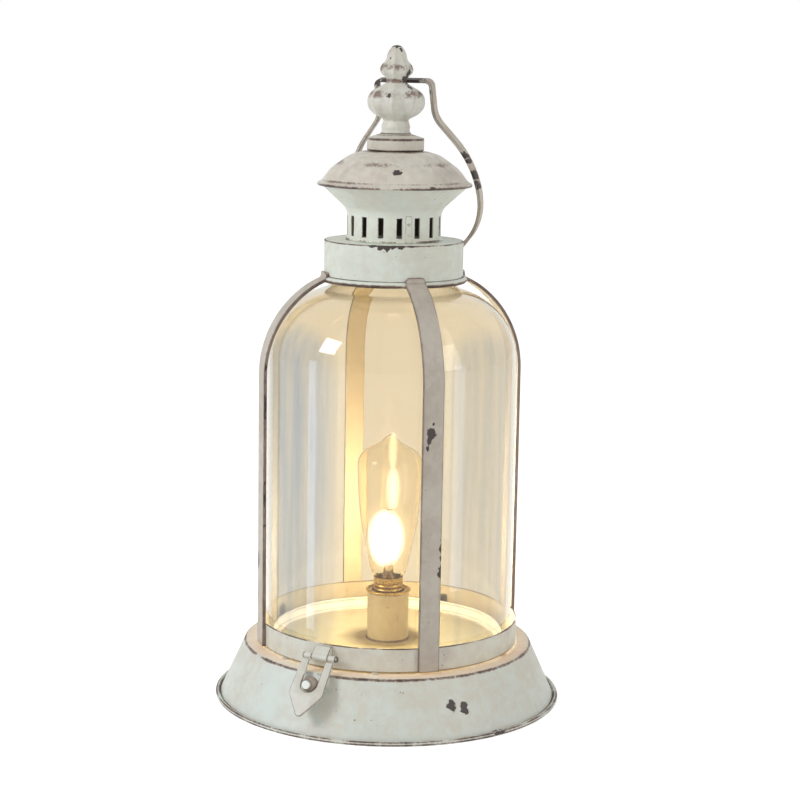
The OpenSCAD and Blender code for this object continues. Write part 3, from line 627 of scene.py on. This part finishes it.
def flat_bar(outline, width, pieces=1):
    """A closed outline of (y, z) in mm, pulled along X to a width, as a bmesh with square edges."""
    bm = bmesh.new()
    first = bm.faces.new([bm.verts.new((-width / 2 * MM, y * MM, z * MM)) for y, z in outline])
    last = first
    for _ in range(pieces):
        grown = bmesh.ops.extrude_face_region(bm, geom=[last])
        inner_face, last = last, [g for g in grown["geom"] if isinstance(g, bmesh.types.BMFace)][0]
        shift(bm, width / pieces, 0, 0, last.verts)
        if inner_face is not first and inner_face.is_valid:
            bmesh.ops.delete(bm, geom=[inner_face], context="FACES_ONLY")
    bmesh.ops.recalc_face_normals(bm, faces=bm.faces)
    return bm


def bar(name, angle, node):
    """One bar of the cage, made at the front of the lamp and turned to its place."""
    stop = math.degrees(math.acos((TAB_R + TAB_BEND * 0.58 - shoulder[0]) / (SHOULDER_R - STRAP_T / 2)))
    path = walk([[shoulder[1] - BAND_Z, 0], [SHOULDER_R - STRAP_T / 2, stop], [TAB_BEND, -stop], [4.2, 0]],
                (BAND_R + STRAP_T / 2, BAND_Z), 90, step=4)
    bm = flat_bar([(-r, z) for r, z in strip(path, STRAP_T)], STRAP_W, pieces=4)
    for v in bm.verts:
        x, y, z = (c / MM for c in v.co)
        if z < BAND_TOP + 8 and -y < BAND_R + 0.6:                  # the inner face hugs the band
            v.co.y = -math.sqrt(BAND_R ** 2 - x ** 2) * MM
        if z > TAB_Z:                                               # the end follows the collar's curve
            v.co.y += (COLLAR_R - math.sqrt(COLLAR_R ** 2 - x ** 2)) * MM * min((z - TAB_Z) / 4, 1)
    corners = [e for e in bm.edges if abs(e.verts[0].co.x - e.verts[1].co.x) < 1e-6
               and all(abs(abs(v.co.x) / MM - STRAP_W / 2) < 0.01 and v.co.z / MM > CORNER_Z for v in e.verts)]
    round_off(bm, corners, CORNER_R, 5)
    break_edges(bm, 0.5)
    swing(bm, angle, "Z")
    # Faces towards the axis take the paler finish, which paints the bulb's light on them.
    finish_piece(bm, name, "cage", bar_enamel, [node],
                 also=[(looks_inwards, lit_bar_inside), (looks_sideways, bar_edge)])


for name, angle in (("front_left", -45), ("front_right", 45), ("back_left", -135), ("back_right", 135)):
    bar("bar_" + name, angle, "strap_" + name)

# %% [markdown]
# ## Glass bell
# One blown bell with a straight side, a domed shoulder and a short neck that goes up into the collar. Its foot is
# cracked off and fire-polished, so the two walls meet in a round edge. Smooth shading blends the slope of a curve
# into the straight wall next to it, and glass turns that into a bent picture of what is behind. A narrow run at
# each end of the wall keeps the blend out of it.

# %% Glass bell
GLASS_R, GLASS_T, DOME_Z, DOME_TURN, DOME_R, NECK_BEND, NARROW = 108.5, 2.5, 300, 75.93, 64, 8, 0.5
FOOT_Z = BAND_Z + 1 + GLASS_T / 2
bell_path = walk([[NARROW, 0], [DOME_Z - 2 * NARROW - FOOT_Z, 0], [NARROW, 0], [DOME_R, DOME_TURN],
                  [NECK_BEND, -DOME_TURN], [NARROW, 0], [10.5, 0]], (GLASS_R, FOOT_Z), 90, step=3)
outer, inner = beside(bell_path, 0), beside(bell_path, GLASS_T)
foot_edge = [(GLASS_R - GLASS_T / 2 - GLASS_T / 2 * math.cos(a), FOOT_Z - GLASS_T / 2 * math.sin(a))
             for a in (math.pi * k / 6 for k in range(1, 6))]
bm = bmesh.new()
spin_outlines(bm, [outer + inner[::-1] + foot_edge], steps=192)
finish_piece(bm, "glass_bell", "cage", cloche_glass, ["glass_cloche"], crease=25)

# %% [markdown]
# ## Collar
# The collar is a short drum with a wire-rolled foot, closed above but for a vent.

# %% Collar
COLLAR_Z, CHIMNEY_R, CAP_T, SEAM_Z, CAP_R, VENT_R = 404.5, 40.5, 1.0, 452.4, 66.7, 14
bm = bmesh.new()
spin_outlines(bm, [[(COLLAR_R - SHEET, BEAD_Z), (COLLAR_R, BEAD_Z), (COLLAR_R, COLLAR_Z - 0.5),
                    (COLLAR_R - 0.5, COLLAR_Z), (VENT_R, COLLAR_Z), (VENT_R, COLLAR_Z - SHEET),
                    (COLLAR_R - SHEET, COLLAR_Z - SHEET)],
                   circle(BEAD_R, (COLLAR_R + 1, BEAD_Z))])
# Its inner faces take the dark bare iron, which also paints the shade inside the collar.
finish_piece(bm, "collar_drum", "cage", collar_enamel, ["collar"],
             also=[(looks_inwards, bare_iron_and_painted_shade)])

# %% [markdown]
# ## Pierced chimney
# The chimney's sheet is spun as one surface, the faces of the slots are taken out, and only then is it given its
# thickness, so that each slot has true side walls. The spinning's steps are a multiple of the slots, and a slot
# takes the middle four columns of its share.

# %% Chimney
SLOTS, COLUMNS, SLOT_COLUMNS, SLOT_LOW, SLOT_HIGH = 16, 14, 4, 408.9, 425.86
flare = [[14, -47], [25.7, 0], [1, -43], [1.1, 0]]
straight = SEAM_Z - COLLAR_Z - walk(flare, (0, 0), 90)[-1][1]
runs = [[SLOT_LOW - COLLAR_Z, 0], [straight - (SLOT_LOW - COLLAR_Z), 0]]
sheet_path = beside(walk(runs + flare, (CHIMNEY_R - CAP_T / 2, COLLAR_Z), 90), -CAP_T / 2)
bm = bmesh.new()
spin_outlines(bm, [sheet_path], steps=SLOTS * COLUMNS, closed=False)
open_faces = []
for f in bm.faces:
    mid = f.calc_center_median()
    step = math.degrees(math.atan2(mid.x, -mid.y)) / (360 / SLOTS) - 0.5
    if SLOT_LOW * MM < mid.z < SLOT_HIGH * MM and abs(step - round(step)) < SLOT_COLUMNS / 2 / COLUMNS:
        open_faces.append(f)
bmesh.ops.delete(bm, geom=open_faces, context="FACES")
bmesh.ops.recalc_face_normals(bm, faces=bm.faces)
if sum(f.normal.dot(Vector((f.calc_center_median().x, f.calc_center_median().y, 0))) for f in bm.faces) < 0:
    bmesh.ops.reverse_faces(bm, faces=bm.faces)
bmesh.ops.solidify(bm, geom=bm.faces[:], thickness=CAP_T * MM)
print("faces taken out for the slots:", len(open_faces))
# Its inner faces are dark bare iron, which also paints the shade inside the chimney.
finish_piece(bm, "pierced_chimney", "cage", chimney_enamel, ["chimney"],
             also=[(looks_inwards, bare_iron_and_painted_shade)])

# %% [markdown]
# ## The chimney's seam
# A wire goes round the chimney's foot but for a gap at the seam, where a lap of the sheet comes down to a small
# foot and is held by two spot welds.

# %% Foot ring and lapped seam
def part_ring(bm, outline, start, end, steps):
    """An outline of (radius, height) in mm turned round the Z axis from one angle to another, with its ends closed.
    Angles count from the front of the lamp towards +X."""
    from_x, from_y = math.sin(math.radians(start)), -math.cos(math.radians(start))
    face = bm.faces.new([bm.verts.new((r * from_x * MM, r * from_y * MM, z * MM)) for r, z in outline])
    bmesh.ops.spin(bm, geom=[face] + list(face.verts) + list(face.edges), cent=(0, 0, 0), axis=(0, 0, 1),
                   angle=math.radians(end - start), steps=steps, use_duplicate=False)


SEAM_ANGLE, WIRE_GAP, LAP, TOE = 45, 4, 3.8, 3.4             # degrees; the last three to each side of the seam
TOE_OUT, TOE_T, LAP_TOP, WELDS_Z = 3.4, 0.8, SLOT_HIGH + 2, (411.5, 420.5)
bm = bmesh.new()
part_ring(bm, circle(1, (CHIMNEY_R, COLLAR_Z + 1), 14), SEAM_ANGLE + WIRE_GAP, SEAM_ANGLE + 360 - WIRE_GAP, 150)
part_ring(bm, [(CHIMNEY_R - 0.4, COLLAR_Z), (CHIMNEY_R + 0.6, COLLAR_Z), (CHIMNEY_R + 0.6, LAP_TOP),
               (CHIMNEY_R - 0.4, LAP_TOP)], SEAM_ANGLE - LAP, SEAM_ANGLE + LAP, 6)
part_ring(bm, [(CHIMNEY_R, COLLAR_Z), (CHIMNEY_R + TOE_OUT, COLLAR_Z), (CHIMNEY_R + TOE_OUT, COLLAR_Z + TOE_T),
               (CHIMNEY_R, COLLAR_Z + TOE_T)], SEAM_ANGLE - TOE, SEAM_ANGLE + TOE, 6)
bmesh.ops.recalc_face_normals(bm, faces=bm.faces)
seam_x, seam_y = math.sin(math.radians(SEAM_ANGLE)), -math.cos(math.radians(SEAM_ANGLE))
for height in WELDS_Z:
    button = bmesh.ops.create_uvsphere(bm, u_segments=16, v_segments=8, radius=1 * MM)["verts"]
    shift(bm, (CHIMNEY_R + 0.2) * seam_x, (CHIMNEY_R + 0.2) * seam_y, height, button)
finish_piece(bm, "chimney_seam", "cage", chimney_enamel, ["chimney"])

# %% [markdown]
# ## Cap
# The cap is one walk from its folded rim, which grips the chimney's flange, over a shallow dome to the small step
# that carries the finial.

# %% Cap
cap_moves = [[0.9, 0], [CAP_T, 180], [1, -38], [2.2, 0], [6, -15], [7, 0], [28, 17], [6.5, 0],
             [3, -6], [3, 8], [5.5, 0], [24, 18], [4, 0], [20, 16], [24, 0]]
cap_path = walk(cap_moves, (CAP_R - 2.4, SEAM_Z - CAP_T), 0, step=5)
DRUM_Z = cap_path[-1][1] + CAP_T / 2
bm = bmesh.new()
spin_outlines(bm, [strip(cap_path, CAP_T)])
print("top of the cap, mm:", round(DRUM_Z, 1))
finish_piece(bm, "cap_dome", "cage", cap_enamel, ["cap"])

# %% [markdown]
# ## Finial
# A small casting in three forms: a melon with eight lobes, a narrow waist and a bud. Spinning its outline gives a
# smooth turned shape, and then each point is drawn in towards the axis between the crests, which is what the
# pattern maker's gouge did.

# %% Drum
FINIAL_Z, DRUM_R = 495.2, 24.5
bm = bmesh.new()
spin_outlines(bm, [[(3, DRUM_Z), (19, DRUM_Z), (20.5, DRUM_Z + 0.8), (DRUM_R - 0.5, DRUM_Z + 0.8),
                    (DRUM_R, DRUM_Z + 1.3), (DRUM_R, FINIAL_Z - 4.4), (DRUM_R - 0.2, FINIAL_Z - 3.6),
                    (DRUM_R - 0.8, FINIAL_Z - 3.2), (13.6, FINIAL_Z), (3, FINIAL_Z)]], steps=128)
finish_piece(bm, "finial_base", "cage", drum_enamel, ["finial_drum"])

# %% Lobed finial
RIBS, RIB_PHASE, RIB_DEPTH, RINGS = 8, 20, 0.11, 110
STATIONS = [  # height, radius, share of the full rib depth
    (495.2, 13.4, 0), (498, 11.9, 0), (501, 12.3, 0), (504.5, 11.4, 0), (507, 10.9, 0), (509, 13.6, 0.3),
    (512, 19.3, 0.8), (517, 23.7, 1), (522, 24.9, 1), (527, 24, 1), (531.5, 20.4, 1), (535, 14.4, 0.8),
    (538, 9.5, 0.4), (540, 8.6, 0.3), (542.5, 9.4, 0.5), (546.5, 13.4, 1), (550, 14.3, 1), (553.5, 12.8, 1),
    (556.5, 10, 0.8), (559, 8.8, 0.6), (561.5, 8.4, 0.5), (564.5, 7.3, 0.4), (567.5, 5.4, 0.3), (569.4, 3, 0.1),
    (570, 0.6, 0)]


def through(t):
    """A smooth curve through the stations, where t counts them."""
    i = min(int(t), len(STATIONS) - 2)
    f = t - i
    a, b, c, d = (Vector(STATIONS[min(max(k, 0), len(STATIONS) - 1)]) for k in (i - 1, i, i + 1, i + 2))
    return 0.5 * (2 * b + (c - a) * f + (2 * a - 5 * b + 4 * c - d) * f * f + (3 * b - a - 3 * c + d) * f ** 3)


rings = [through((len(STATIONS) - 1) * k / RINGS) for k in range(RINGS + 1)]
shares = sorted((s[0], s[2]) for s in rings)
bm = bmesh.new()
spin_outlines(bm, [[(0, STATIONS[0][0])] + [(s[1], s[0]) for s in rings] + [(0, STATIONS[-1][0])]], steps=192,
              closed=False)
for v in bm.verts:
    height = v.co.z / MM
    share = min(shares, key=lambda s: abs(s[0] - height))[1]
    angle = math.degrees(math.atan2(v.co.x, -v.co.y))
    keep = 1 - RIB_DEPTH * max(share, 0) * abs(math.sin(math.radians(RIBS * (angle - RIB_PHASE) / 2)))
    v.co.x, v.co.y = v.co.x * keep, v.co.y * keep
finish_piece(bm, "lobed_finial", "cage", finial_enamel, ["finial"], crease=60)

# %% [markdown]
# ## Bulb
# A drop-shaped bulb with a long neck and a point where it was drawn off. Its wall has an outer and an inner face
# that meet, so that it bends light as a thin shell does, and not as a solid drop. Inside it, wires run up and down
# between two rings of hooks.

# %% Bulb glass
NECK_R, NECK_Z, BULB_T = 12, 97, 0.8
bulb_path = walk([[8.5, 0], [3, -45], [2, 0], [5, 29], [345, 16], [16, 62], [8, 0], [30, -14], [6.4, 0], [5, 42]],
                 (NECK_R, NECK_Z), 90, step=4)
outer, inner = ([p for p in beside(bulb_path, gap) if p[0] > 0.4] for gap in (0, BULB_T))
bm = bmesh.new()
spin_outlines(bm, [[(0, inner[-1][1] + 0.2)] + inner[::-1] + outer + [(0, outer[-1][1] + 0.2)]], steps=128,
              closed=False)
finish_piece(bm, "bulb_envelope", "bulb", lamp_glass, ["bulb_glass"])

# %% Hot wires
RUNS, FOOT, TOP = 12, (7.5, 121), (6, 162)      # a hook is (radius, height)
wire = bpy.data.curves.new("hot_wire", "CURVE")
wire.dimensions = "3D"
wire.bevel_depth = 0.3 * MM
wire.bevel_resolution = 2
line = wire.splines.new("POLY")
line.points.add(2 * RUNS - 1)
for k in range(RUNS):
    around = 2 * math.pi * k / RUNS
    for j, (r, z) in enumerate([FOOT, TOP] if k % 2 == 0 else [TOP, FOOT]):
        line.points[2 * k + j].co = (r * MM * math.cos(around), r * MM * math.sin(around), z * MM, 1)
drawn = bpy.data.objects.new("hot_wire_line", wire)
mesh = bpy.data.meshes.new_from_object(drawn)
bpy.data.objects.remove(drawn)
bm = bmesh.new()
bm.from_mesh(mesh)
finish_piece(bm, "hot_filament", "bulb", hot_wire, ["bulb_filament"])

# %% [markdown]
# ## Glare
# At the camera's exposure the hot wires burn out to white blobs with soft edges. Each blob is an ellipsoid that
# adds light to what lies behind it, fades towards its own outline and lights nothing. Only the camera sees it,
# straight or through the glass.

# %% Glare
def glare_finish(name, colour, strength, falloff):
    """A soft blob of light, brightest in its middle. A higher falloff makes its edge softer."""
    material, out = fresh(name)
    facing = add(material, "LayerWeight", {"Blend": 0.5})
    soft = add(material, "Math", {0: 1.0, 1: facing.outputs["Facing"]}, operation="SUBTRACT")
    soft = add(material, "Math", {0: soft.outputs[0], 1: falloff}, operation="POWER")
    soft = product(material, product(material, soft.outputs[0], strength), rays(material, "Camera", "Transmission"))
    shine = add(material, "Emission", {"Color": linear(colour), "Strength": soft})
    behind = add(material, "BsdfTransparent")
    join(material, add(material, "AddShader", {0: behind.outputs[0], 1: shine.outputs[0]}), out)
    return material


def glare(name, centre, half_width, half_height, finish):
    """An ellipsoid of glare, with its centre and halves in mm."""
    bm = bmesh.new()
    bmesh.ops.create_uvsphere(bm, u_segments=48, v_segments=32, radius=half_width * MM)
    bmesh.ops.scale(bm, verts=bm.verts, vec=(1, 1, half_height / half_width))
    shift(bm, *centre)
    finish_piece(bm, name, "bulb", finish)


glare("filament_glare", (-2.6, -1.4, 140.5), 18, 26.5, glare_finish("white glare of the filament", "#FBFCFF", 1.5, 2))
glare("filament_halo", (-1.5, -0.8, 143), 26, 37, glare_finish("warm glare round the filament", "#FFE9BE", 0.25, 3))
# The two upper blobs are painted highlights: the filament's light caught in the bulb's glass above the wires and at
# its tip.
glare("upper_glare", (2.5, 1.3, 185), 7.5, 20, glare_finish("glare over the wires", "#FFF6E0", 0.7, 3))
glare("tip_glare", (2, 1, 219), 5, 17, glare_finish("glare at the tip", "#FFF0CE", 0.5, 3))

# %% [markdown]
# ## The bulb's own light
# A point light among the wires fills the bell. A weak disc under the band stands for the light that leaks out
# between the band and the base as a warm line.

# %% Light of the bulb
WIRES_Z, WIRES_R, SPILL_ACROSS = 140, 14, 250
lamp, burner = light("filament light", "POINT", 1.7, "#FFF8F0")
lamp.shadow_soft_size = WIRES_R * MM
burner.location = (0, 0, WIRES_Z * MM)
burner.visible_glossy = burner.visible_transmission = False

spill, leak = light("spilled light", "AREA", 0.06, "#FFAC50")
spill.shape = "DISK"
spill.size = SPILL_ACROSS * MM
leak.location = (0, 0, (BAND_Z - 0.1) * MM)
leak.visible_camera = leak.visible_glossy = leak.visible_transmission = False
print("lights in the lamp, W:", round(lamp.energy, 2), "and", round(spill.energy, 2))

# %% [markdown]
# ## Latch
# A pressed hasp hangs from a pin on the band's bracket and drops over a knob on the skirt. The hasp's outline is
# drawn flat with its window cut in, pulled to the sheet's thickness, and its edges are broken; two rolled knuckles
# are added, and the whole plate is swung to the angle at which it lies against the knob.

# %% Hasp plate
PIN_Y, PIN_Z, KNUCKLE_R, HASP_T, HASP_ANGLE, HASP_LEN = -121, 62.5, 2.8, 1.6, 40, 55.5
HALF_W, WINDOW_HALF, WINDOW_S = 14.85, 7.75, 26
edge_line = [(x, z) for x, z, _ in walk([[4, 55], [20, 0], [6, 37], [29.3, 0]], (0, -HASP_LEN), 0)]
top = edge_line[-1][1]
arch = [math.pi * k / 16 for k in range(17)]
window = [(WINDOW_HALF * math.cos(a), -WINDOW_S - WINDOW_HALF * math.sin(a)) for a in arch]
outline = edge_line + [(WINDOW_HALF, top)] + window + [(-WINDOW_HALF, top)] + [(-x, z) for x, z in edge_line[:0:-1]]
bm = bmesh.new()
front = bm.faces.new([bm.verts.new((x * MM, -KNUCKLE_R * MM, z * MM)) for x, z in outline])
grown = bmesh.ops.extrude_face_region(bm, geom=[front])
shift(bm, 0, HASP_T, 0, [g for g in grown["geom"] if isinstance(g, bmesh.types.BMVert)])
bmesh.ops.recalc_face_normals(bm, faces=bm.faces)
break_edges(bm, 0.3, sharper=50, segments=2)
for side in (-1, 1):
    knuckle = bmesh.ops.create_cone(bm, cap_ends=True, segments=32, radius1=KNUCKLE_R * MM, radius2=KNUCKLE_R * MM,
                                    depth=(HALF_W - WINDOW_HALF) * MM)["verts"]
    swing(bm, 90, "Y", knuckle)
    shift(bm, side * (HALF_W + WINDOW_HALF) / 2, 0, 0, knuckle)
swing(bm, -HASP_ANGLE, "X")
shift(bm, 0, PIN_Y, PIN_Z)
finish_piece(bm, "hasp", "hasp", hasp_enamel, ["hasp_plate"])

# %% [markdown]
# ## Knob
# The knob is turned: its outline is spun about its own axis, leaned to square with the skirt and set in its place.
# Its flat end is rubbed bright by the hasp.

# %% Knob
KNOB_Y, KNOB_Z, KNOB_TILT, HEAD_R, END_FROM = -138.5, 43.5, 12, 7, 5.6
rubbed_iron = worn_enamel("enamel rubbed off the knob", "#A99E91", "#75685E", rub=2.6, edge=3.0, grime=0.9, specks=3)
knob_outline = [(0, -16.9), (2.5, -16.9), (2.5, -7.3), (4.1, -7.3), (4.1, -4.9), (5.1, -4.8)]
knob_outline += [(HEAD_R * math.cos(math.radians(a)), HEAD_R * math.sin(math.radians(a))) for a in range(-40, 51, 6)]
knob_outline += [(3.9, 5.7), (3.7, 6), (3.7, 7.2), (3.3, 7.6), (0, 7.6)]
bm = bmesh.new()
spin_outlines(bm, [knob_outline], steps=48, closed=False)
ends = [f for f in bm.faces if f.calc_center_median().z > END_FROM * MM]
swing(bm, 90 - KNOB_TILT, "X")
shift(bm, 0, KNOB_Y, KNOB_Z)
for f in ends:
    f.material_index = 1
knob = finish_piece(bm, "knob", "base", rubbed_iron, ["latch_knob"])
knob.data.materials.append(bright_steel)

# %% [markdown]
# ## Bail
# The bail is one length of flat bar, bent over the top and hung from two rivets. As with the cage's bars, its
# centre line is walked, given the bar's thickness and pulled to its width; the ends below the rivets are rounded
# by a wide bevel of their corners.

# %% Bail
BAIL_X, BAIL_Y, BAIL_Z, BAIL_W, BAIL_T, BAIL_LEAN, BAIL_EYE, EYE_ROUND = 36.5, 54.2, 388, 7.4, 2.8, 14.8, 4, 3
leg = walk([[7.5, 0], [4, -42], [16.8, 0], [52.8, 42], [80, 40], [18.7, 0], [22, -40], [18.8, 0], [5, 90], [21, 0]],
           (BAIL_X, -BAIL_EYE), 90, step=4)
whole = leg + [(-x, z, -h) for x, z, h in leg[::-1]]
bm = flat_bar(strip(whole, BAIL_T), BAIL_W)
swing(bm, 90, "Z")
lowest = min(v.co.z for v in bm.verts)
eyes = [e for e in bm.edges if all(v.co.z < lowest + 1e-5 for v in e.verts)
        and abs(e.verts[0].co.y - e.verts[1].co.y) < 1e-6]
round_off(bm, eyes, EYE_ROUND, 5)
break_edges(bm, 0.5)
swing(bm, BAIL_LEAN, "X")
shift(bm, 0, BAIL_Y, BAIL_Z)
finish_piece(bm, "bail_bar", "bail", bail_enamel, ["bail"])

# %% [markdown]
# ## The CAD parts that stay
# Small fittings and hidden parts are already right in the CAD model. They keep their meshes and only get their
# finish.

# %% Finishes for the fittings
KEPT = {
    bare_steel: ["holder_nipple", "nipple_washer", "nipple_nut", "knob_nut", "hinge_pin", "glass_clips", "cap_washer",
                 "cap_nut", "finial_stud", "hasp_pin", "bail_rivets", "bulb_contact", "bulb_supports"],
    rolled_brass: ["screw_shell", "centre_contact", "bulb_screw"],
    bakelite: ["lampholder_body", "bulb_insulator"],
    soft_rubber: ["cable_grommet", "neck_seal"],
    clear_vinyl: ["band_bumpers"],
    lamp_glass: ["bulb_stem"],
    hasp_enamel: ["hasp_bracket", "hinge_upper_leaf", "hinge_lower_leaf", "hinge_upper_rivets", "hinge_lower_rivets"],
    bail_enamel: ["bail_lugs"],
}
for finish, names in KEPT.items():
    for name in names:
        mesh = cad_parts[name].data
        mesh.materials.clear()
        mesh.materials.append(finish)
print("CAD parts with a finish:", sum(len(names) for names in KEPT.values()))
